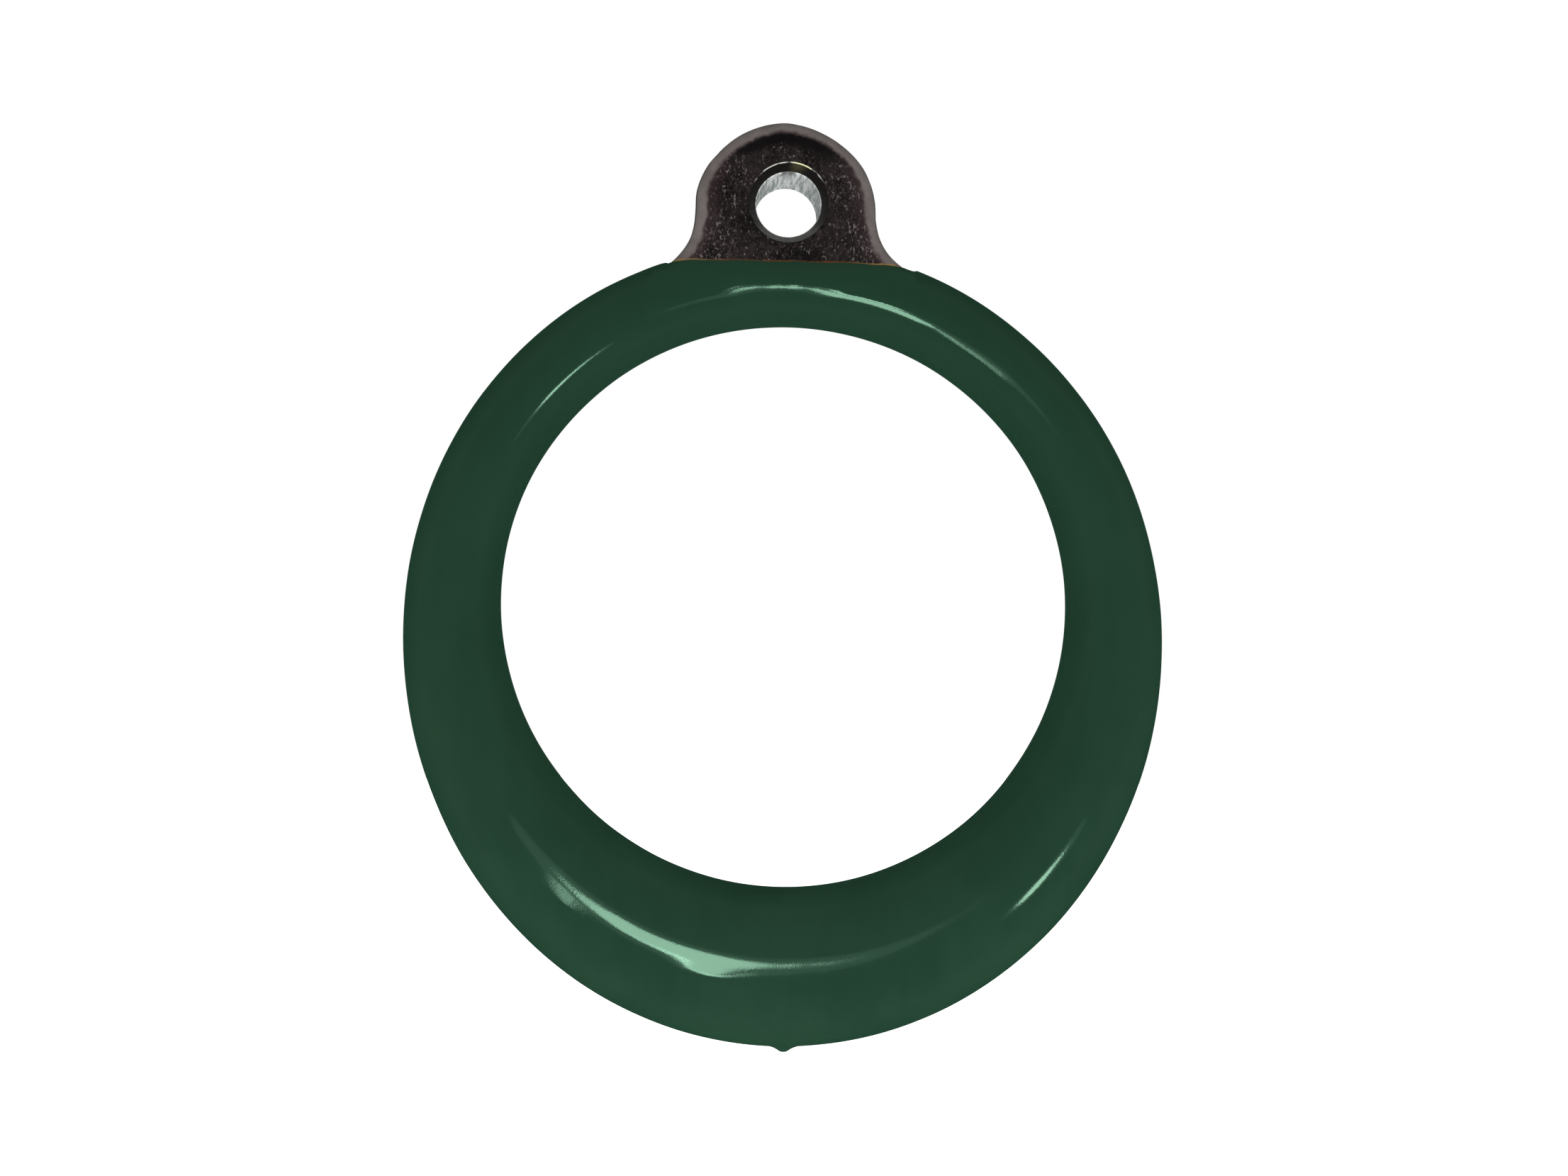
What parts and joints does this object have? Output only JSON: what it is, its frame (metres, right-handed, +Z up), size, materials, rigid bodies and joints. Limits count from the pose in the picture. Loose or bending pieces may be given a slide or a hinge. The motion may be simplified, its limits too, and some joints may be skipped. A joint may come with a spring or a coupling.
{
  "type": "trapeze ring",
  "caption": "Round hand ring for a swing set: a cast ring dipped in thick green vinyl, thicker at the bottom grip, with a bare primed lug and chamfered hanging eye on top.",
  "frame": {"origin": "centre of the hanging eye's bore, at mid thickness of the lug", "axes": "+Z up from the ring's centre through the eye, Y along the eye's bore with the front face towards -Y, X across the ring"},
  "size_m": [0.1702, 0.0254, 0.2072],
  "materials": {
    "primed_casting": "cast aluminium under a baked brown-black adhesive primer film, satin; bare bright metal inside the eye bore",
    "green_plastisol": "gloss soft vinyl (plastisol) dip coating, dark green"
  },
  "bodies": {
    "root": {"ring_casting": "primed_casting", "plastisol_coating": "green_plastisol"}
  },
  "joints": []
}
